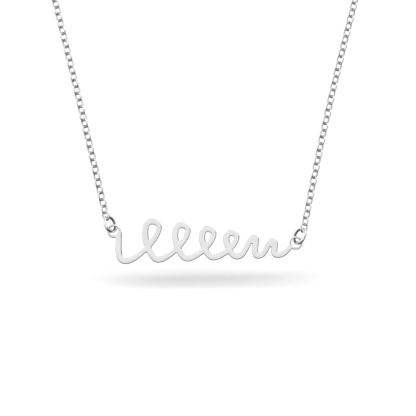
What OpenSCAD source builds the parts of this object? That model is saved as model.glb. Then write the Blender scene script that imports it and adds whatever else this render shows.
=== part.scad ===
// Nameplate necklace in polished silver, shown as it is worn, as one closed loop.
// A flat pen stroke cut from sheet hangs by two eyelets from two jump rings.
// A fine chain of real links runs from each jump ring round the neck to a ring clasp.
// Millimetres. X to the right as seen from the front, the front faces -Y, Z up.
// The origin is where the loop rests on the nape, at the middle of the back.

/* [Loop] */
// Half of the loop's width, at the shoulders
loop_half_w = 44.5; // [43:0.5:46]
// Depth of the loop from the nape to the front
loop_depth = 78; // [76:0.5:79]
// Drop from the nape to the left eyelet
loop_drop = 86; // [84:0.5:88]

/* [Chain] */
// Diameter of the wire of a link
link_wire = 0.37; // [0.3:0.01:0.39]
// Outer width of a link
link_w = 1.9; // [1.8:0.02:2.1]
// Distance from one link to the next
link_pitch = 1.43; // [1.41:0.01:1.5]
// Play between two links that hook each other
link_play = 0.12; // [0.1:0.01:0.16]

/* [Nameplate] */
// Distance between the two eyelets along X
eyelet_span = 38.2; // [36:0.2:40]
// Height of the left eyelet over the right one
eyelet_step = 2.5; // [0:0.1:4]
// Outer diameter of an eyelet
eyelet_od = 2.9; // [2.7:0.05:3.1]
// Diameter of the hole in an eyelet
eyelet_hole = 1.94; // [1.8:0.02:2.1]
// Thickness of the sheet
sheet_t = 1; // [0.8:0.05:1.1]
// Middle width of the pen stroke
stroke_w = 1.26; // [1:0.02:1.4]
// Difference in width between strokes that fall and strokes that rise
stroke_swell = 0.2; // [0:0.02:0.3]
// Number of turns of the stroke, the loops and the waves together
turns = 6; // [5:1:7]
// Number of turns that are closed loops
loops = 4; // [2:1:4]
// Rise of the first turn
first_rise = 8.3; // [7.5:0.1:8.8]
// Rise of the last turn
last_rise = 3; // [2.4:0.1:3.6]
// Sideways lean of a turn for each millimetre of its rise
lean = 0.3; // [0.2:0.02:0.36]

/* [Rings and clasp] */
// Outer diameter of a jump ring, and of the ring that the clasp hooks
ring_od = 4; // [3.8:0.05:4.2]
// Diameter of a jump ring's wire
ring_wire = 0.7; // [0.6:0.02:0.74]
// Turn of a jump ring from facing the front
ring_turn = 57; // [54:1:60]
// Lean of a jump ring away from the upright
ring_lean = 28; // [25:1:31]
// Outer diameter of the clasp's ring
clasp_od = 6; // [5.8:0.1:6.4]
// Diameter of the clasp's tube
clasp_tube = 1.2; // [1:0.05:1.3]

/* [Hidden] */
$fn = 24;

// Way of one chain from the front to the nape: shares of half width, depth and drop
route_shares = [
    [0.574, 0.994, -0.720],
    [0.697, 0.965, -0.458],
    [0.826, 0.888, -0.215],
    [0.955, 0.725, -0.020],
    [1.000, 0.495, 0.045],
    [0.885, 0.245, 0.055],
    [0.580, 0.065, 0.035],
    [0.290, 0.012, 0.010]
];
// Steps of the curve between two of those points
route_steps = 16;
// Roll of the links in front, in degrees, that sets them all at 45 degrees to the view
front_roll = 12.5;
// Pairs of a share of the way to the nape and of the share of that roll which the links have there
roll_shares = [[0, 0], [0.04, 1], [0.3, 1], [0.6, 0], [1, 0]];

// Link and ring sizes, with the radius of each ring's wire centre
link_r = (link_w - link_wire) / 2;
link_hole = link_pitch + link_play;
link_straight = link_hole - (link_w - 2 * link_wire);
ring_r = (ring_od - ring_wire) / 2;
clasp_r = (clasp_od - clasp_tube) / 2;
// A link that hooks a ring: its play there, and from the ring's wire centre to the link's centre
hook_play = link_play + 0.03;
function hook_reach(wire) = link_hole / 2 - hook_play - wire / 2;

// Clasp: the small soldered eye, the trigger, and places along X
eye_od = 2.2;
eye_wire = 0.5;
eye_r = (eye_od - eye_wire) / 2;
solder = 0.25;
trigger_d = 0.8;
trigger_l = 0.7;
clasp_x = clasp_tube - clasp_od / 2;
eye_x = clasp_x - clasp_od / 2 - eye_od / 2 + solder;
end_ring_x = clasp_x + clasp_od / 2 - clasp_tube + ring_od / 2 - ring_wire - link_play;

// Eyelets: side is -1 at the left and 1 at the right
function eyelet(side) =
    [side * eyelet_span / 2, -loop_depth, -loop_drop - (side > 0 ? eyelet_step : 0)];

// Jump ring: its long way up and out, and its way across, turned to the front
function ring_up(side) = [side * sin(ring_lean), 0, cos(ring_lean)];
function ring_across(side) =
    cos(ring_turn) * [side * cos(ring_lean), 0, -sin(ring_lean)] + sin(ring_turn) * [0, -1, 0];

// Route of one chain, from its first link's centre to its last link's centre
function route_start(side) =
    eyelet(side) + (2 * ring_r + hook_reach(ring_wire)) * ring_up(side);
function route_end(side) = side > 0
    ? [end_ring_x + ring_r + hook_reach(ring_wire), 0, 0]
    : [eye_x - eye_r - hook_reach(eye_wire), 0, 0];
function route_points(side) = concat(
    [route_start(side)],
    [for (s = route_shares) [side * s.x * loop_half_w, -s.y * loop_depth, s.z * loop_drop]],
    [route_end(side)]);
function smooth(a, b, c, d, t) =
    b + t * (c - a) / 2 + t * t * (a - 2.5 * b + 2 * c - d / 2)
    + t * t * t * (1.5 * (b - c) + (d - a) / 2);
function before(p, i) = i > 0 ? p[i - 1] : 2 * p[0] - p[1];
function after(p, i) = i + 2 < len(p) ? p[i + 2] : 2 * p[i + 1] - p[i];
function route_curve(p) = concat(
    [for (i = [0 : len(p) - 2], j = [0 : route_steps - 1])
        smooth(before(p, i), p[i], p[i + 1], after(p, i), j / route_steps)],
    [p[len(p) - 1]]);
// Pairs of length along a curve and place in its list
function lengths(c) =
    [for (i = 0, l = 0; i < len(c); l = l + (i + 1 < len(c) ? norm(c[i + 1] - c[i]) : 0), i = i + 1)
        [l, i]];
function point_at(c, lens, l) =
    let (f = lookup(l, lens), i = min(floor(f), len(c) - 2)) c[i] + (f - i) * (c[i + 1] - c[i]);
// Number of links, odd on the left and even on the right, so that each end hooks its ring squarely
function link_count(side, l) = 2 * round(l / link_pitch / 2) + (side > 0 ? 0 : 1);

// Axes of a link that runs along t, turned by an angle from a line that leans to the front
function unit(v) = v / norm(v);
function square_to(v, t) = unit(v - (v * t) * t);
function link_axes(t, angle) =
    let (n = square_to([0, -1, 1], t), b = cross(t, n)) [t, cos(angle) * n + sin(angle) * b];

// Stroke: the place where it leaves the left eyelet, its low line, and where its tail starts
lead_start = [0.95, -0.25];
lead_handle = [0.35, -1.7];
first_low = [2.6, -6.35];
last_low = [eyelet_span - 3.8, -eyelet_step - 2.55];
tail_end = [eyelet_span - 0.75, -eyelet_step - 0.55];
tail_handle = [1.1, 0.75];
// Width of each turn as a share of the one before
turn_shrink = 0.9;
// Lengths of the curve handles at the low points, at the loops' tops and at the waves' tops
low_handle = 2.5;
last_low_handle = 1.6;
loop_handle = 3.6;
loop_handle_loss = 0.3;
wave_handle = 1.25;
// Climb of the stroke at the top of a loop, for each millimetre that it goes back
loop_climb = 0.25;
// Points along one span of the stroke, and how far they draw together at its ends, from 0, evenly, to 1
span_steps = 22;
span_easing = 0.5;
// Radius of the inner corners where strokes meet
crotch_r = 0.12;

function turn_u(k) =
    first_low.x + (last_low.x - first_low.x) * (1 - pow(turn_shrink, k)) / (1 - pow(turn_shrink, turns));
function low_v(u) =
    first_low.y + (last_low.y - first_low.y) * (u - first_low.x) / (last_low.x - first_low.x);
function rise(k) = first_rise + (last_rise - first_rise) * k / (turns - 1);
function top_handle(k) = k < loops ? (loop_handle - loop_handle_loss * k) * [-1, loop_climb] : [wave_handle, 0];
function low_handle_at(k) = low_handle + (last_low_handle - low_handle) * k / turns;
// Each point of the stroke is its place and its handle, as the pen moves
function stroke_points() = concat(
    [[lead_start, lead_handle], [first_low, [low_handle, 0]]],
    [for (k = [0 : turns - 1], low = [0, 1]) low == 0
        ? [[(turn_u(k) + turn_u(k + 1)) / 2 + lean * rise(k), low_v(turn_u(k)) + rise(k)],
           top_handle(k)]
        : [[turn_u(k + 1), low_v(turn_u(k + 1))], [low_handle_at(k + 1), 0]]],
    [[tail_end, tail_handle]]);
function span_at(a, b, t) =
    let (p = a[0], q = a[0] + a[1], r = b[0] - b[1], s = b[0], m = 1 - t)
    m * m * m * p + 3 * m * m * t * q + 3 * m * t * t * r + t * t * t * s;
function span_way(a, b, t) =
    let (p = a[0], q = a[0] + a[1], r = b[0] - b[1], s = b[0], m = 1 - t)
    unit(m * m * (q - p) + 2 * m * t * (r - q) + t * t * (s - r));
// A point at one edge of the stroke, which is narrower where the pen rises
function edge_at(a, b, t, edge) =
    let (w = span_way(a, b, t), half = (stroke_w - stroke_swell / 2 * w.y) / 2)
    span_at(a, b, t) + edge * half * [-w.y, w.x];

// Steps along a span, closer together at its ends, where the stroke bends most
function ease(i) =
    (1 - span_easing) * i / span_steps + span_easing * (1 - cos(180 * i / span_steps)) / 2;

// One stretch of the stroke between two of its points
module stroke_span(a, b) {
    polygon(concat(
        [for (i = [0 : span_steps]) edge_at(a, b, ease(i), 1)],
        [for (i = [span_steps : -1 : 0]) edge_at(a, b, ease(i), -1)]));
}

// Outline of the nameplate, seen from the front, from the left eyelet's centre
module plate_outline() {
    pts = stroke_points();
    offset(r = -crotch_r) offset(delta = crotch_r) {
        for (i = [0 : len(pts) - 2]) stroke_span(pts[i], pts[i + 1]);
        circle(d = eyelet_od, $fn = 48);
        translate([eyelet_span, -eyelet_step]) circle(d = eyelet_od, $fn = 48);
    }
}

// A bent wire round Z, whole or in part
module bent_wire(radius, wire, angle = 360) {
    rotate_extrude(angle = angle) translate([radius, 0]) circle(d = wire);
}

// A closed link along X, lying in the plane of X and Y
module chain_link() {
    for (end = [0, 180]) {
        rotate([0, 0, end]) translate([link_straight / 2, 0, 0]) rotate([0, 0, -90])
            bent_wire(link_r, link_wire, 180);
        rotate([0, 0, end]) translate([0, link_r, 0]) rotate([0, 90, 0])
            cylinder(h = link_straight, d = link_wire, center = true);
    }
}

// Puts a part drawn in X and Y so that X runs along u, Y along v, and its middle is at p
module put(p, u, v) {
    w = cross(u, v);
    multmatrix([[u.x, v.x, w.x, p.x], [u.y, v.y, w.y, p.y], [u.z, v.z, w.z, p.z], [0, 0, 0, 1]])
        children();
}

// The chain of one side, each link about a quarter turn from the one before
module chain(side) {
    curve = route_curve(route_points(side));
    lens = lengths(curve);
    whole = lens[len(lens) - 1][0];
    count = link_count(side, whole);
    pitch = whole / (count - 1);
    for (i = [0 : count - 1]) {
        way = unit(point_at(curve, lens, (i + 0.5) * pitch) - point_at(curve, lens, (i - 0.5) * pitch));
        roll = front_roll * lookup(i / (count - 1), roll_shares);
        axes = link_axes(way, -side * (45 + 90 * i - roll));
        put(point_at(curve, lens, i * pitch), axes[0], axes[1]) chain_link();
    }
}

module jump_ring(side) {
    middle = eyelet(side) + ring_r * ring_up(side);
    put(middle, ring_up(side), ring_across(side)) bent_wire(ring_r, ring_wire);
}

module nameplate() {
    color([0.89, 0.89, 0.9])
    translate(eyelet(-1)) rotate([90, 0, 0]) difference() {
        linear_extrude(height = sheet_t, center = true) plate_outline();
        for (p = [[0, 0], [eyelet_span, -eyelet_step]])
            translate(p) cylinder(h = 2 * sheet_t, d = eyelet_hole, center = true);
    }
}

module jump_ring_left() {
    color([0.8, 0.8, 0.82]) jump_ring(-1);
}

module jump_ring_right() {
    color([0.8, 0.8, 0.82]) jump_ring(1);
}

module chain_left() {
    color([0.78, 0.78, 0.8]) chain(-1);
}

module chain_right() {
    color([0.78, 0.78, 0.8]) chain(1);
}

// Ring clasp, closed: its tube, the trigger on it, and the eye soldered to it
module clasp() {
    color([0.8, 0.8, 0.82]) {
        put([clasp_x, 0, 0], [1, 0, 0], [0, 0, 1]) bent_wire(clasp_r, clasp_tube);
        put([eye_x, 0, 0], [1, 0, 0], [0, 0, 1]) bent_wire(eye_r, eye_wire);
        translate([clasp_x, 0, clasp_r]) cylinder(h = clasp_tube / 2 + trigger_l, d = trigger_d);
    }
}

module end_ring() {
    color([0.8, 0.8, 0.82]) translate([end_ring_x, 0, 0]) bent_wire(ring_r, ring_wire);
}

nameplate();
jump_ring_left();
jump_ring_right();
chain_left();
chain_right();
clasp();
end_ring();
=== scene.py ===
"""Nameplate necklace: the looks of its plate, chain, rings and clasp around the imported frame.

The rings and the clasp keep their CAD shapes and get their finish here. The plate is worked out
anew from its own outline, so that its edges are softly rounded, and the chain from its own links,
with fewer faces and with marks that follow the wire. Everything is in metres, in the frame of the
part.
"""
import math

import bpy
import numpy as np
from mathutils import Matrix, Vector
from mathutils.geometry import delaunay_2d_cdt


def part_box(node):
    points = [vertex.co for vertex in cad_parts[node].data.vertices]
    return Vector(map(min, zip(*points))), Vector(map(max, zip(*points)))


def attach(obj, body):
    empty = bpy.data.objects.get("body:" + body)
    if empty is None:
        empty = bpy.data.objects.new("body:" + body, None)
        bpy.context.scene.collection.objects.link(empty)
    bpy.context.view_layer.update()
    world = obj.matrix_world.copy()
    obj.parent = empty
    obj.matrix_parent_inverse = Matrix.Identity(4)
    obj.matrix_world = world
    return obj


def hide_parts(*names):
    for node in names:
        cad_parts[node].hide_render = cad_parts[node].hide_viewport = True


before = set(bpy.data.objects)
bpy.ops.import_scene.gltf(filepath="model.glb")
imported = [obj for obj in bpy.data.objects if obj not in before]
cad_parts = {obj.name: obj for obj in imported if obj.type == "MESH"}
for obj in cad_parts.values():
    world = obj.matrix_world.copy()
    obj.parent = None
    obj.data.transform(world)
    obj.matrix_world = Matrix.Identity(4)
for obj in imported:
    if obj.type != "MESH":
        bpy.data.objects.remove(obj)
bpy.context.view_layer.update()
MM = 0.001


# Plate's CAD mesh: points closer together than one over this number of metres count as one, and
# points no farther than this behind the front belong to its front face
POINTS_IN_A_METRE = 5e6
FRONT_DEPTH = 0.02 * MM

# Plate's outline: the step at which it is taken, the share of a step under which two points count
# as one, the least number of steps, and the half width of its smoothing
OUTLINE_STEP = 0.08 * MM
CLOSE_POINTS = 0.4
FEWEST_STEPS = 24
OUTLINE_SMOOTHING = 0.11 * MM

# Plate's edges and faces: the radius of its rounded edges, the steps of that arc, how far a face
# falls back at its rim, how far in from the rim it does so, the step of the points that fill a
# face, how many of those steps they keep off the rim, and how exactly they are joined
EDGE_RADIUS = 0.23 * MM
EDGE_STEPS = 4
CROWN = 0.015 * MM
CROWN_REACH = 0.5 * MM
FACE_STEP = 0.25 * MM
RIM_CLEARANCE = 0.6
FILL_EXACTNESS = 1e-9

# Chain: how many links each side has, how many rings and sides a link's wire is drawn with, the
# share of the CAD wire's thickness that is its radius, and how far the marks on one link lie from
# those on the next
LINKS = {"chain_left": 119, "chain_right": 122}
LINK_RINGS = 12
LINK_SIDES = 8
LINK_RADIUS = 0.499
UV_SHIFT = 7.3 * MM

# Painted shade on a link, darker silver where the next link crosses it: how far it comes round the
# wire from the inner side, as a cosine, its least share along the straight sides, how closely it
# keeps to the bends, and its share on every second link, which is painted lighter
SHADE_ROUND = 0.5
SHADE_STRAIGHT = 0.2
SHADE_POWER = 3
SHADE_SECOND = 0.7

# Rings that join plate, chain and clasp: inner radius, and how far from it the wire is darker and
# rougher
RING_INNER = 1.3 * MM
RING_DARK_REACH = 0.35 * MM

# Photograph: its width, and the centres of the eyelets in it, in pixels
PHOTO_SIZE = 416
PHOTO_EYELETS = ((113.8, 230.9), (295.8, 243.0))

# The same centres on the plate
EYELETS = (Vector((-19.1, -78, -86)) * MM, Vector((19.1, -78, -88.5)) * MM)

# Camera: how far it stands from the plate, how far it looks down and from the right, in degrees,
# the width of its sensor in millimetres, and how near it sees
CAMERA_DISTANCE = 0.62
CAMERA_DOWN = 5.0
CAMERA_RIGHT = 0.0
SENSOR = 36.0
NEAREST = 0.01

# Floor: how far it lies below the plate, how far it reaches to the front, where its level part
# ends behind, the radius and the steps of the bend there, its reach to the sides, the height of
# the wall behind, and the paper's tint and the number of its grains in a metre
FLOOR_BELOW = 35 * MM
FLOOR_FRONT = 0.8
FLOOR_FLAT = -0.184
FLOOR_BEND = 0.21
FLOOR_STEPS = 32
FLOOR_SIDE = 1.6
WALL_HEIGHT = 0.9
PAPER_TINT = (0.895, 0.905)
PAPER_GRAIN = 400.0

# Strip light that throws the plate's shadow: its size, how far from the plate and how high it
# stands, in degrees, and its power. The fill is the even light on the floor, and the camera sees
# the air behind everything as this white
STRIP_SIZE = (4.0, 0.8)
STRIP_DISTANCE = 1.07
STRIP_UP = 61.0
STRIP_POWER = 28.0
FLOOR_FILL = 0.06
WHITE_AIR = 1.1

# Tent that the silver reflects: pairs of a height, -1 at the bottom and 1 at the top, and the
# brightness there, a value that none exceeds, and how far its level drops to the left, in degrees
TENT = [(-0.75, 0.05), (-0.4, 0.36), (-0.15, 0.1), (-0.05, 0.08), (0.12, 0.85), (0.4, 0.92),
        (0.55, 1.02), (0.8, 1.02), (0.9, 0.6)]
TENT_BRIGHTEST = 1.1
TENT_TILT = 8.0

# Card in the tent: its brightness, where its middle stands and how far it reaches, in degrees,
# and how softly it ends. Below the level it fades, by this much down to the low one
CARD_BRIGHTNESS = 0.95
CARD_RIGHT = -28.0
CARD_HALF_WIDTH = 50.0
CARD_UP = -4.0
CARD_HALF_HEIGHT = 22.0
CARD_SOFT = 0.1
CARD_FADING = 0.33
CARD_LEVEL = -0.087
CARD_LOW = -0.5


def mesh_places(obj):
    """Places (n, 3) of a mesh's points."""
    places = np.empty(len(obj.data.vertices) * 3, np.float32)
    obj.data.vertices.foreach_get("co", places)
    return places.reshape(-1, 3).astype(float)


def mesh_triangles(obj):
    """Point numbers (m, 3) of a mesh's triangles."""
    obj.data.calc_loop_triangles()
    corners = np.empty(len(obj.data.loop_triangles) * 3, np.int32)
    obj.data.loop_triangles.foreach_get("vertices", corners)
    return corners.reshape(-1, 3)


def new_object(name, places, faces, normals=None):
    """An object at the origin with this mesh, shaded smooth, and these normals at its points."""
    mesh = bpy.data.meshes.new(name)
    mesh.from_pydata(places.tolist(), [], faces)
    mesh.polygons.foreach_set("use_smooth", np.ones(len(mesh.polygons), bool))
    mesh.update()
    if normals is not None:
        mesh.normals_split_custom_set_from_vertices(normals.tolist())
    obj = bpy.data.objects.new(name, mesh)
    bpy.context.scene.collection.objects.link(obj)
    return obj


def point_values(obj, name, values):
    """A number for each point of a mesh, kept under a name that its material reads."""
    attribute = obj.data.attributes.new(name, "FLOAT", "POINT")
    attribute.data.foreach_set("value", np.asarray(values, np.float32).ravel())


def front_outline(obj):
    """Closed outline loops of a flat plate's front face, as a list of (n, 2) arrays of X and Z.

    Points closer than a fifth of a micrometre count as one, and a triangle that loses a corner so
    is left out. An outline's edge is used by one front triangle alone, so each point knows the
    next one. Jumps that double in length then give every point at once its loop's lowest number
    and its steps to that one, which put it in order.
    """
    all_places = mesh_places(obj)
    rounded = np.round(all_places * POINTS_IN_A_METRE)
    _, first, same = np.unique(rounded, axis=0, return_index=True, return_inverse=True)
    places, triangles = all_places[first], same.reshape(-1)[mesh_triangles(obj)]
    front = places[:, 1] < places[:, 1].min() + FRONT_DEPTH
    cap = triangles[front[triangles].all(1)]
    cap = cap[(cap != np.roll(cap, 1, axis=1)).all(1)]
    a, b = cap[:, [0, 1, 2]].ravel(), cap[:, [1, 2, 0]].ravel()
    alone = ~np.isin(a * len(places) + b, b * len(places) + a)
    points, start = np.unique(a[alone], return_index=True)
    follows = np.searchsorted(points, b[alone][start])
    doublings = int(np.ceil(np.log2(len(points)))) + 1
    lowest, jump = np.arange(len(points)), follows.copy()
    for _ in range(doublings):
        lowest, jump = np.minimum(lowest, lowest[jump]), jump[jump]
    last = follows == lowest
    steps, jump = np.where(last, 0, 1), np.where(last, np.arange(len(points)), follows)
    for _ in range(doublings):
        steps, jump = steps + steps[jump], jump[jump]
    order = np.lexsort((-steps, lowest))
    starts = np.flatnonzero(np.diff(lowest[order])) + 1
    return [places[points[part]][:, [0, 2]] for part in np.split(order, starts)]


def evened_outline(loop, step, width):
    """A closed loop taken at even steps of a smooth curve through its points, each point then
    averaged with its neighbours along the loop by bell-shaped weights of that half width. Of
    points closer together than a part of a step, one is kept.

    Between two points the curve is a cubic in the share of the way. Its slope at a point is the
    mean of the slopes to both neighbours, each weighted by the other's distance, and reaches as
    far as the nearer of them, so that a long side doesn't bulge beside a short one.
    """
    gone = np.cumsum(np.linalg.norm(loop - np.roll(loop, 1, axis=0), axis=1))
    loop = loop[np.unique(np.floor(gone / step), return_index=True)[1]]
    loop = loop[np.linalg.norm(loop - np.roll(loop, 1, axis=0), axis=1) > CLOSE_POINTS * step]
    side = np.roll(loop, -1, axis=0) - loop
    far = np.linalg.norm(side, axis=1)[:, None]
    before, slope = np.roll(far, 1, axis=0), side / far
    bend = (np.roll(slope, 1, axis=0) * far + slope * before) / (far + before)
    knots = np.concatenate([[0], np.cumsum(far[:, 0])])
    count = max(FEWEST_STEPS, int(round(knots[-1] / step)))
    at = np.arange(count) * knots[-1] / count
    k = np.searchsorted(knots, at, side="right") - 1
    n = (k + 1) % len(loop)
    reach_in, reach_out = np.minimum(far[k], before[k]), np.minimum(far[k], far[n])
    t = ((at - knots[k]) / far[k, 0])[:, None]
    even = ((1 + 2 * t) * (1 - t) ** 2 * loop[k] + t * (1 - t) ** 2 * reach_in * bend[k]
            + t ** 2 * (3 - 2 * t) * loop[n] - t ** 2 * (1 - t) * reach_out * bend[n])
    lag = np.minimum(np.arange(count), count - np.arange(count)) * knots[-1] / count
    bell = np.exp(-0.5 * (lag / width) ** 2)
    weights = np.fft.fft(bell / bell.sum())
    return np.fft.ifft(np.fft.fft(even, axis=0) * weights[:, None], axis=0).real


def depth_inside(points, rim, out):
    """How far inside a rim each point lies, negative outside, and the outward way there.

    Both come from the rim point nearest to it: a point lies inside by as much of the way to that
    one as goes outward.
    """
    near = ((rim ** 2).sum(1)[None] - 2 * points @ rim.T).argmin(1)
    return ((rim[near] - points) * out[near]).sum(1), out[near]


def rounded_plate(name, loops, front, back):
    """A plate with rounded edges and slightly crowned faces.

    Its wall is a profile carried round each outline loop: an arc off the front face, a straight
    stretch and an arc onto the back face. A point of the profile lies the edge radius times
    (1 - cos) inside the outline, along the outline's own normal, and as far behind the rim as the
    radius times the difference of the sines. A face falls back towards its rim by the crown times
    (1 - share) squared, where share is the distance from the rim over the crown's reach, 1 at
    most. The arcs start at the slope that the face has there. Rims and a square grid of points
    are joined by triangles.
    """
    slope = 2 * CROWN / CROWN_REACH
    turn = np.linspace(math.pi / 2 - math.atan(slope), 0, EDGE_STEPS + 1)
    behind = CROWN + EDGE_RADIUS * (math.sin(turn[0]) - np.sin(turn))
    inset = EDGE_RADIUS * (np.cos(np.concatenate([turn, turn[::-1]])) - 1)
    depth = np.concatenate([front + behind, back - behind[::-1]])
    lift = np.concatenate([-np.sin(turn), np.sin(turn[::-1])])
    rows = len(depth)
    places, normals, faces, rims, ways, numbers, sides = [], [], [], [], [], [], []
    base = start = 0
    for loop in loops:
        along = np.roll(loop, -1, axis=0) - np.roll(loop, 1, axis=0)
        along /= np.linalg.norm(along, axis=1)[:, None]
        out = np.column_stack([along[:, 1], -along[:, 0]])
        count = len(loop)
        edge = loop[None] + inset[:, None, None] * out[None]
        tilt = np.sqrt(1 - lift ** 2)[:, None, None] * out[None]
        level, leaning = (np.broadcast_to(v[:, None], (rows, count)) for v in (depth, lift))
        places.append(np.stack([edge[..., 0], level, edge[..., 1]], -1).reshape(-1, 3))
        normals.append(np.stack([tilt[..., 0], leaning, tilt[..., 1]], -1).reshape(-1, 3))
        row, column = np.meshgrid(np.arange(rows - 1), np.arange(count), indexing="ij")
        after = (column + 1) % count
        quads = np.stack([row * count + column, (row + 1) * count + column,
                          (row + 1) * count + after, row * count + after], -1)
        faces.append(quads.reshape(-1, 4) + base)
        rims.append(edge[0])
        ways.append(out)
        numbers.append(base + np.arange(count) + np.array([[0], [(rows - 1) * count]]))
        sides.append(start + np.column_stack([np.arange(count), (np.arange(count) + 1) % count]))
        base, start = base + rows * count, start + count
    rim, out = np.concatenate(rims), np.concatenate(ways)
    x, z = (np.arange(low, high, FACE_STEP) for low, high in zip(rim.min(0), rim.max(0)))
    grid = np.stack(np.meshgrid(x, z), -1).reshape(-1, 2)
    inside, way = depth_inside(grid, rim, out)
    kept = inside > RIM_CLEARANCE * FACE_STEP
    grid, inside, way = grid[kept], inside[kept], way[kept]
    fall = 1 - np.minimum(inside / CROWN_REACH, 1)
    for face, forward in ((front, -1), (back, 1)):
        places.append(np.column_stack([grid[:, 0], face - forward * CROWN * fall ** 2, grid[:, 1]]))
        rising = slope * fall[:, None] * way
        facing = np.column_stack([rising[:, 0], np.full(len(grid), forward), rising[:, 1]])
        normals.append(facing / np.linalg.norm(facing, axis=1)[:, None])
    flat = np.concatenate([rim, grid])
    edges = np.concatenate(sides)
    filled = np.array(delaunay_2d_cdt(flat.tolist(), edges.tolist(), [], 1, FILL_EXACTNESS)[2])
    filled = filled[depth_inside(flat[filled].mean(1), rim, out)[0] > 0]
    p, q, s = (flat[filled[:, k]] for k in range(3))
    area = (q[:, 0] - p[:, 0]) * (s[:, 1] - p[:, 1]) - (q[:, 1] - p[:, 1]) * (s[:, 0] - p[:, 0])
    filled = np.where((area > 0)[:, None], filled, filled[:, ::-1])
    inner = base + np.arange(len(grid))
    front_numbers = np.concatenate([pair[0] for pair in numbers] + [inner])
    back_numbers = np.concatenate([pair[1] for pair in numbers] + [inner + len(grid)])
    faces = np.concatenate(faces).tolist()
    faces += front_numbers[filled].tolist() + back_numbers[filled[:, ::-1]].tolist()
    normals = np.concatenate(normals)
    obj = new_object(name, np.concatenate(places), faces, normals)
    point_values(obj, "edge_polish", np.sqrt(1 - np.minimum(normals[:, 1] ** 2, 1)))
    return obj


def wire_links(name, obj, count, rings, sides):
    """Chain links of round wire, each where a link of the CAD node is.

    A link's three axes are those along which its own points spread least, more and most: the
    normal of its plane, its width and its length. Its wire is a circle of the wire's radius
    carried round a stadium: at each end, half a circle whose angle runs from -90 to 90 degrees,
    moved out by half of the straight part. Its point attribute holds painted shade where the next
    link crosses: nothing on the outer side of the wire, and on the inner side a share everywhere
    and the rest of it in the bends, by a power of the cosine of that angle.
    """
    points = mesh_places(obj).reshape(count, -1, 3)
    middle = points.mean(1)
    around = points - middle[:, None]
    _, axes = np.linalg.eigh(np.einsum("nij,nik->njk", around, around))
    axes[:, :, 2] *= np.sign(np.linalg.det(axes))[:, None]
    local = np.einsum("nij,njk->nik", around, axes)
    middle += np.einsum("nk,njk->nj", (local.max(1) + local.min(1)) / 2, axes)
    wire, width, length = (local.max(1) - local.min(1)).mean(0)
    half_wire, bend, straight = LINK_RADIUS * wire, (width - wire) / 2, (length - width) / 2
    half = np.radians(np.linspace(-90, 90, rings // 2))
    end = np.repeat([1.0, -1.0], rings // 2)
    angle = np.concatenate([half, half + np.pi])
    outward = np.stack([np.zeros(rings), np.sin(angle), np.cos(angle)], -1)
    path = bend * outward + np.stack([np.zeros(rings), np.zeros(rings), end * straight], -1)
    turn = np.arange(sides) * 2 * np.pi / sides
    across = np.sin(turn)[None, :, None] * np.array([1.0, 0, 0])
    tilt = np.cos(turn)[None, :, None] * outward[:, None] + across
    shape = path[:, None] + half_wire * tilt
    places = middle[:, None] + np.einsum("njk,mk->nmj", axes, shape.reshape(-1, 3))
    normals = np.einsum("njk,mk->nmj", axes, tilt.reshape(-1, 3))
    ring, side = np.meshgrid(np.arange(rings), np.arange(sides), indexing="ij")
    next_ring, next_side = (ring + 1) % rings, (side + 1) % sides
    one = np.stack([ring * sides + side, ring * sides + next_side,
                    next_ring * sides + next_side, next_ring * sides + side], -1).reshape(-1, 4)
    faces = (one[None] + (np.arange(count) * rings * sides)[:, None, None]).reshape(-1, 4)
    links = new_object(name, places.reshape(-1, 3), faces.tolist(), normals.reshape(-1, 3))
    steps = np.linalg.norm(np.roll(path, -1, axis=0) - path, axis=1)
    gone = np.concatenate([[0], np.cumsum(steps)])
    u = np.stack([gone[ring], gone[ring], gone[ring + 1], gone[ring + 1]], -1)
    v = np.stack([side, side + 1, side + 1, side], -1) * 2 * np.pi * half_wire / sides
    wound = np.stack([u, v], -1).reshape(1, -1, 2) + (np.arange(count) * UV_SHIFT)[:, None, None]
    marks = links.data.uv_layers.new(name="along_wire")
    marks.uv.foreach_set("vector", wound.astype(np.float32).ravel())
    # Painted shade: darker silver on the inner side of the wire, most in the bends where the links
    # cross, and less on every second link
    in_bend = np.clip(np.cos(angle) * end, 0, 1)[:, None] ** SHADE_POWER
    dull = SHADE_STRAIGHT + (1 - SHADE_STRAIGHT) * in_bend
    inner = np.clip(SHADE_ROUND - np.cos(turn), 0, 1)[None, :] * dull
    share = np.where(np.arange(count) % 2 == 0, 1.0, SHADE_SECOND)
    point_values(links, "painted_crossing_shade", np.outer(share, inner.ravel()))
    return links


# Pieces
plate_low, plate_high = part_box("nameplate")
plate_loops = front_outline(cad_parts["nameplate"])
outline = [evened_outline(loop, OUTLINE_STEP, OUTLINE_SMOOTHING) for loop in plate_loops]
plate = rounded_plate("nameplate_rounded", outline, plate_low.y, plate_high.y)
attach(plate, "pendant")
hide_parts("nameplate")

chains = {}
for node, link_count in LINKS.items():
    chains[node] = wire_links(node + "_links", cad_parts[node], link_count,
                              LINK_RINGS, LINK_SIDES)
    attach(chains[node], "chain")
    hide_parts(node)


# Finishes
def add_node(tree, kind, **settings):
    """A new shader node. A setting with the name of one of its properties sets that, and the rest
    fill its inputs.
    """
    node = tree.nodes.new(kind)
    for name, value in settings.items():
        if hasattr(node, name):
            setattr(node, name, value)
        else:
            socket = node.inputs[name.replace("_", " ")]
            if isinstance(value, bpy.types.NodeSocket):
                tree.links.new(value, socket)
            else:
                socket.default_value = value
    return node


# Silver: its colour where it is bright
BRIGHT = (0.93, 0.93, 0.935)

# Marks in the silver: how polishing lines and scratches are drawn out, how a scratch lies, from
# which value of its noise it starts and is at its full depth, and that depth
DRAWN_OUT = (0.06, 1, 1)
SCRATCH_DRAWN_OUT = (1, 0.05, 1)
SCRATCH_TURN = (0.5, 0.4, 0.9)
SCRATCH_FROM = 0.68
SCRATCH_FULL = 0.76
SCRATCH_DEPTH = 0.6

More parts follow.
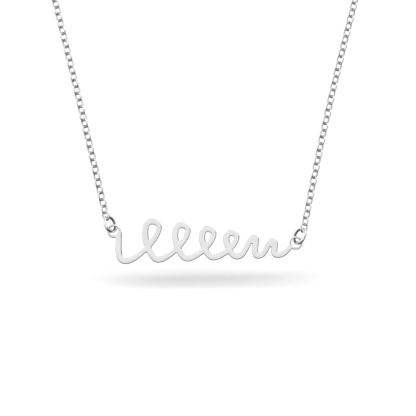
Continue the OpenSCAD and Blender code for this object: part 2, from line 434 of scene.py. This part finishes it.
# Handling: the tones between which the roughness goes from its least to its most share, and the
# tone from which the clasp is dull
TONE_LOW = 0.3
TONE_HIGH = 0.7
LEAST_ROUGH = 0.8
MOST_ROUGH = 1.25
TONE_HANDLED = 0.45


def new_group(name, inputs, outputs):
    """An empty node group with these sockets, and its input and output nodes."""
    group = bpy.data.node_groups.new(name, "ShaderNodeTree")
    for side, sockets in (("INPUT", inputs), ("OUTPUT", outputs)):
        for label, kind in sockets:
            group.interface.new_socket(label, in_out=side, socket_type=kind)
    return group, group.nodes.new("NodeGroupInput"), group.nodes.new("NodeGroupOutput")


def polish_marks_group():
    """Marks of polishing and of use. Tone is a soft cloud, 0 to 1, of where the silver has been
    handled. Height has fine lines that run along the first axis of Vector, with a few deeper
    scratches across them.
    """
    group, given, made = new_group(
        "polish_marks",
        [("Vector", "NodeSocketVector"), ("Clouds", "NodeSocketFloat"),
         ("Lines", "NodeSocketFloat")],
        [("Tone", "NodeSocketFloat"), ("Height", "NodeSocketFloat")])
    cloud = add_node(group, "ShaderNodeTexNoise", Vector=given.outputs["Vector"],
                     Scale=given.outputs["Clouds"], Detail=3.0, Roughness=0.6)
    drawn = add_node(group, "ShaderNodeVectorMath", operation="MULTIPLY")
    group.links.new(given.outputs["Vector"], drawn.inputs[0])
    drawn.inputs[1].default_value = DRAWN_OUT
    lines = add_node(group, "ShaderNodeTexNoise", Vector=drawn.outputs[0],
                     Scale=given.outputs["Lines"], Detail=4.0, Roughness=0.7)
    crossed = add_node(group, "ShaderNodeMapping", Vector=given.outputs["Vector"],
                       Rotation=SCRATCH_TURN, Scale=SCRATCH_DRAWN_OUT)
    nicks = add_node(group, "ShaderNodeTexNoise", Vector=crossed.outputs[0],
                     Scale=given.outputs["Lines"], Detail=1.0)
    deep = add_node(group, "ShaderNodeMapRange", interpolation_type="SMOOTHSTEP",
                    Value=nicks.outputs["Fac"], From_Min=SCRATCH_FROM, From_Max=SCRATCH_FULL,
                    To_Min=0.0, To_Max=-SCRATCH_DEPTH)
    both = add_node(group, "ShaderNodeMath", operation="ADD")
    group.links.new(lines.outputs["Fac"], both.inputs[0])
    group.links.new(deep.outputs["Result"], both.inputs[1])
    group.links.new(cloud.outputs["Fac"], made.inputs["Tone"])
    group.links.new(both.outputs[0], made.inputs["Height"])
    return group


def silver_wear_and_shade_group():
    """Silver between two states: where Dull is 1 it has the darker colour and the higher roughness,
    and where it is 0 the bright ones; on the chain that darker colour is painted shade. The tone
    shifts the roughness by a share either way.
    """
    group, given, made = new_group(
        "worn_and_shaded_silver",
        [("Bright", "NodeSocketColor"), ("Tarnish_and_shade", "NodeSocketColor"),
         ("Dull", "NodeSocketFloat"), ("Tone", "NodeSocketFloat"),
         ("Smooth", "NodeSocketFloat"), ("Rough", "NodeSocketFloat")],
        [("Color", "NodeSocketColor"), ("Roughness", "NodeSocketFloat")])
    colour = group.nodes.new("ShaderNodeMix")
    colour.data_type = "RGBA"
    group.links.new(given.outputs["Dull"], colour.inputs["Factor"])
    group.links.new(given.outputs["Bright"], colour.inputs[6])
    group.links.new(given.outputs["Tarnish_and_shade"], colour.inputs[7])
    rough = add_node(group, "ShaderNodeMapRange", Value=given.outputs["Dull"],
                     To_Min=given.outputs["Smooth"], To_Max=given.outputs["Rough"])
    share = add_node(group, "ShaderNodeMapRange", Value=given.outputs["Tone"],
                     From_Min=TONE_LOW, From_Max=TONE_HIGH,
                     To_Min=LEAST_ROUGH, To_Max=MOST_ROUGH)
    product = add_node(group, "ShaderNodeMath", operation="MULTIPLY")
    group.links.new(rough.outputs["Result"], product.inputs[0])
    group.links.new(share.outputs["Result"], product.inputs[1])
    group.links.new(colour.outputs[2], made.inputs["Color"])
    group.links.new(product.outputs[0], made.inputs["Roughness"])
    return group


polish_marks = polish_marks_group()
worn_and_shaded_silver = silver_wear_and_shade_group()


def silver(name, place, dull, tarnish_and_shade, smooth, rough, clouds, lines, depth):
    """A silver finish between bright silver and a darker colour, and from smooth to rough. On the
    chain the darker colour is painted shade.

    Place and dull are functions that add, to the node tree that they get, the vector its marks
    follow and the mask of where it is dull and darker. Clouds and lines are the marks' numbers in a
    metre, and depth is their relief.
    """
    material = bpy.data.materials.new(name)
    material.use_nodes = True
    tree = material.node_tree
    shader = tree.nodes["Principled BSDF"]
    shader.inputs["Metallic"].default_value = 1
    marks = tree.nodes.new("ShaderNodeGroup")
    marks.node_tree = polish_marks
    tree.links.new(place(tree), marks.inputs["Vector"])
    marks.inputs["Clouds"].default_value = clouds
    marks.inputs["Lines"].default_value = lines
    worn = tree.nodes.new("ShaderNodeGroup")
    worn.node_tree = worn_and_shaded_silver
    worn.inputs["Bright"].default_value = (*BRIGHT, 1)
    worn.inputs["Tarnish_and_shade"].default_value = (*tarnish_and_shade, 1)
    worn.inputs["Smooth"].default_value = smooth
    worn.inputs["Rough"].default_value = rough
    tree.links.new(dull(tree, marks), worn.inputs["Dull"])
    tree.links.new(marks.outputs["Tone"], worn.inputs["Tone"])
    tree.links.new(worn.outputs["Color"], shader.inputs["Base Color"])
    tree.links.new(worn.outputs["Roughness"], shader.inputs["Roughness"])
    bump = tree.nodes.new("ShaderNodeBump")
    bump.inputs["Distance"].default_value = depth
    bump.inputs["Strength"].default_value = 1
    tree.links.new(marks.outputs["Height"], bump.inputs["Height"])
    tree.links.new(bump.outputs["Normal"], shader.inputs["Normal"])
    return material


def object_place(tree):
    """The piece's own place."""
    return tree.nodes.new("ShaderNodeTexCoord").outputs["Object"]


def wire_place(tree):
    """The place along and round a link's wire."""
    return add_node(tree, "ShaderNodeUVMap", uv_map="along_wire").outputs["UV"]


def dull_by_tone(tree, marks):
    """Dull where the silver has been handled."""
    return add_node(tree, "ShaderNodeMapRange", Value=marks.outputs["Tone"],
                    From_Min=TONE_HANDLED, From_Max=TONE_HIGH).outputs[0]


def darker_inside_ring(middle):
    """The mask of a ring that has this middle: darker and rougher on its inner side.
    """
    def mask(tree, marks):
        off = add_node(tree, "ShaderNodeVectorMath", operation="DISTANCE")
        tree.links.new(object_place(tree), off.inputs[0])
        off.inputs[1].default_value = middle
        return add_node(tree, "ShaderNodeMapRange", interpolation_type="SMOOTHSTEP",
                        Value=off.outputs["Value"], From_Min=RING_INNER,
                        From_Max=RING_INNER + RING_DARK_REACH, To_Min=1.0, To_Max=0.0).outputs[0]
    return mask


def dull_off_edges(tree, marks):
    """Dull on the plate's faces and bright on its edges, which rub on cloth and skin."""
    edge = add_node(tree, "ShaderNodeAttribute", attribute_name="edge_polish")
    return add_node(tree, "ShaderNodeMapRange", Value=edge.outputs["Fac"],
                    To_Min=1.0, To_Max=0.0).outputs[0]


def painted_link_shade(tree, marks):
    """Painted shade: dark, dull silver on a link's inner side and most in its bends, where the next
    link crosses it.
    """
    return add_node(tree, "ShaderNodeAttribute", attribute_name="painted_crossing_shade").outputs["Fac"]


plate_finish = silver("satin_plate", object_place, dull_off_edges, tarnish_and_shade=(0.9, 0.9, 0.905),
                      smooth=0.12, rough=0.24, clouds=180, lines=9000, depth=0.0002 * MM)
# The chain's dark second colour is painted shade, laid on by the links' point attribute
chain_finish = silver("chain_wire_painted_shade", wire_place, painted_link_shade,
                      tarnish_and_shade=(0.06, 0.06, 0.065), smooth=0.07, rough=0.3,
                      clouds=500, lines=16000, depth=0.0012 * MM)
clasp_finish = silver("polished_clasp", object_place, dull_by_tone, tarnish_and_shade=(0.8, 0.8, 0.81),
                      smooth=0.08, rough=0.16, clouds=500, lines=9000, depth=0.001 * MM)
plate.data.materials.append(plate_finish)
for links in chains.values():
    links.data.materials.append(chain_finish)
finishes = {"clasp": clasp_finish}
for node in ("jump_ring_left", "jump_ring_right", "end_ring"):
    low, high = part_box(node)
    finishes[node] = silver(node + "_wire", object_place, darker_inside_ring((low + high) / 2),
                            tarnish_and_shade=(0.15, 0.15, 0.155), smooth=0.07, rough=0.25,
                            clouds=900, lines=12000, depth=0.001 * MM)
for node, finish in finishes.items():
    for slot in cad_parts[node].material_slots:
        slot.material = finish

# Camera: it sees the eyelets where the photograph has them
metre_per_pixel = (EYELETS[1] - EYELETS[0]).length / math.dist(*PHOTO_EYELETS)
aim = (EYELETS[0] + EYELETS[1]) / 2
aim.y = (plate_low.y + plate_high.y) / 2
aim.x += (PHOTO_SIZE / 2 - (PHOTO_EYELETS[0][0] + PHOTO_EYELETS[1][0]) / 2) * metre_per_pixel
aim.z += ((PHOTO_EYELETS[0][1] + PHOTO_EYELETS[1][1]) / 2 - PHOTO_SIZE / 2) * metre_per_pixel


def direction(right, up):
    """The way from the plate, this many degrees to the right of the front and above the level."""
    right, up = math.radians(right), math.radians(up)
    return Vector((math.sin(right) * math.cos(up), -math.cos(right) * math.cos(up), math.sin(up)))


def stand(obj, place, target):
    """Puts a camera or a light at a place, turned to a point."""
    obj.location = place
    obj.rotation_euler = (Vector(target) - Vector(place)).to_track_quat("-Z", "Y").to_euler()
    bpy.context.scene.collection.objects.link(obj)


lens = bpy.data.cameras.new("photo_camera")
lens.sensor_width = SENSOR
lens.lens = SENSOR * CAMERA_DISTANCE / (PHOTO_SIZE * metre_per_pixel)
lens.clip_start = NEAREST
camera = bpy.data.objects.new("photo_camera", lens)
stand(camera, aim + direction(CAMERA_RIGHT, CAMERA_DOWN) * CAMERA_DISTANCE, aim)
bpy.context.scene.camera = camera


# Floor
def curved_floor(name, level):
    """A floor that bends up into a wall: a level line, a quarter circle and an upright line,
    carried along X.
    """
    turn = np.radians(np.linspace(0, 90, FLOOR_STEPS + 1))
    bend = FLOOR_FLAT + FLOOR_BEND * np.sin(turn)
    y = np.concatenate([[-FLOOR_FRONT], bend, [FLOOR_FLAT + FLOOR_BEND]])
    z = level + np.concatenate([[0], FLOOR_BEND * (1 - np.cos(turn)), [WALL_HEIGHT]])
    x = np.array([-FLOOR_SIDE, FLOOR_SIDE])
    sheet = np.stack(np.broadcast_arrays(x[:, None], y, z), -1)
    k = np.arange(len(y) - 1)
    faces = np.stack([k, k + len(y), k + len(y) + 1, k + 1], -1)
    return new_object(name, sheet.reshape(-1, 3), faces.tolist())


def paper(name):
    """Matt white paper with a faint grain. Its back lets the camera through, so that it hides
    nothing from behind.
    """
    material = bpy.data.materials.new(name)
    material.use_nodes = True
    tree = material.node_tree
    shader = tree.nodes["Principled BSDF"]
    shader.inputs["Roughness"].default_value = 1
    shader.inputs["Specular IOR Level"].default_value = 0
    grain = add_node(tree, "ShaderNodeTexNoise", Vector=object_place(tree), Scale=PAPER_GRAIN,
                     Detail=2.0)
    tint = add_node(tree, "ShaderNodeMapRange", Value=grain.outputs["Fac"],
                    To_Min=PAPER_TINT[0], To_Max=PAPER_TINT[1])
    tree.links.new(tint.outputs[0], shader.inputs["Base Color"])
    through = tree.nodes.new("ShaderNodeBsdfTransparent")
    side = tree.nodes.new("ShaderNodeNewGeometry")
    mix = tree.nodes.new("ShaderNodeMixShader")
    tree.links.new(side.outputs["Backfacing"], mix.inputs[0])
    tree.links.new(shader.outputs[0], mix.inputs[1])
    tree.links.new(through.outputs[0], mix.inputs[2])
    tree.links.new(mix.outputs[0], tree.nodes["Material Output"].inputs["Surface"])
    return material


floor = curved_floor("pale_floor", plate_low.z - FLOOR_BELOW)
floor.data.materials.append(paper("white_paper"))
floor.visible_glossy = False

# Lights
strip_data = bpy.data.lights.new("strip_light", "AREA")
strip_data.shape = "RECTANGLE"
strip_data.size, strip_data.size_y = STRIP_SIZE
strip_data.energy = STRIP_POWER
strip = bpy.data.objects.new("strip_light", strip_data)
plate_middle = (plate_low + plate_high) / 2
stand(strip, plate_middle + direction(0, STRIP_UP) * STRIP_DISTANCE, plate_middle)
strip.visible_camera = False
strip.visible_glossy = False


def math_node(tree, operation, *values):
    """The result of a Math node on sockets and numbers."""
    node = add_node(tree, "ShaderNodeMath", operation=operation)
    for socket, value in zip(node.inputs, values):
        if isinstance(value, bpy.types.NodeSocket):
            tree.links.new(value, socket)
        else:
            socket.default_value = value
    return node.outputs[0]


def soft_band(tree, value, centre, half):
    """1 where a value lies within half of the centre, falling softly to 0 at its edges."""
    off = math_node(tree, "ABSOLUTE", math_node(tree, "SUBTRACT", value, centre))
    return add_node(tree, "ShaderNodeMapRange", interpolation_type="SMOOTHSTEP", Value=off,
                    From_Min=half - CARD_SOFT, From_Max=half + CARD_SOFT,
                    To_Min=1.0, To_Max=0.0).outputs[0]


def studio_tent():
    """A white tent over a dark table, as the silver reflects it: its brightness follows the
    height over a level that drops to the left, with a soft white card in front of the plate and
    another behind it. The camera sees plain white, and the floor gets a little even light.
    """
    world = bpy.data.worlds.new("studio_tent")
    world.use_nodes = True
    tree = world.node_tree
    way = tree.nodes.new("ShaderNodeTexCoord").outputs["Generated"]
    tilt = math.radians(TENT_TILT)
    height = add_node(tree, "ShaderNodeVectorMath", operation="DOT_PRODUCT")
    tree.links.new(way, height.inputs[0])
    height.inputs[1].default_value = (-math.sin(tilt), 0, math.cos(tilt))
    spread = add_node(tree, "ShaderNodeMapRange", Value=height.outputs["Value"],
                      From_Min=-1.0, From_Max=1.0)
    tent = add_node(tree, "ShaderNodeValToRGB", Fac=spread.outputs["Result"])
    stops = tent.color_ramp.elements
    while len(stops) < len(TENT):
        stops.new(0.5)
    for stop, (level, brightness) in zip(stops, TENT):
        stop.position = (level + 1) / 2
        stop.color = (*[brightness / TENT_BRIGHTEST] * 3, 1)
    scaled = math_node(tree, "MULTIPLY", tent.outputs["Color"], TENT_BRIGHTEST)
    axes = tree.nodes.new("ShaderNodeSeparateXYZ")
    tree.links.new(way, axes.inputs[0])
    depth = math_node(tree, "ABSOLUTE", axes.outputs["Y"])
    turned = math_node(tree, "ARCTAN2", axes.outputs["X"], depth)
    across = soft_band(tree, turned, math.radians(CARD_RIGHT), math.radians(CARD_HALF_WIDTH))
    middle, reach = math.sin(math.radians(CARD_UP)), math.sin(math.radians(CARD_HALF_HEIGHT))
    upright = soft_band(tree, axes.outputs["Z"], middle, reach)
    card = math_node(tree, "MULTIPLY", across, upright)
    seen = add_node(tree, "ShaderNodeMix")
    tree.links.new(card, seen.inputs["Factor"])
    tree.links.new(scaled, seen.inputs[2])
    fading = add_node(tree, "ShaderNodeMapRange", Value=axes.outputs["Z"],
                      From_Min=CARD_LOW, From_Max=CARD_LEVEL,
                      To_Min=CARD_BRIGHTNESS - CARD_FADING, To_Max=CARD_BRIGHTNESS)
    tree.links.new(fading.outputs[0], seen.inputs[3])
    ray = tree.nodes.new("ShaderNodeLightPath")
    plain = add_node(tree, "ShaderNodeMapRange", Value=ray.outputs["Is Camera Ray"],
                     To_Min=FLOOR_FILL, To_Max=WHITE_AIR)
    mix = add_node(tree, "ShaderNodeMix")
    tree.links.new(ray.outputs["Is Glossy Ray"], mix.inputs["Factor"])
    tree.links.new(plain.outputs[0], mix.inputs[2])
    tree.links.new(seen.outputs[0], mix.inputs[3])
    tree.links.new(mix.outputs[0], tree.nodes["Background"].inputs["Strength"])
    tree.nodes["Background"].inputs["Color"].default_value = (1, 1, 1, 1)
    return world


bpy.context.scene.world = studio_tent()
bpy.context.scene.view_settings.view_transform = "Standard"
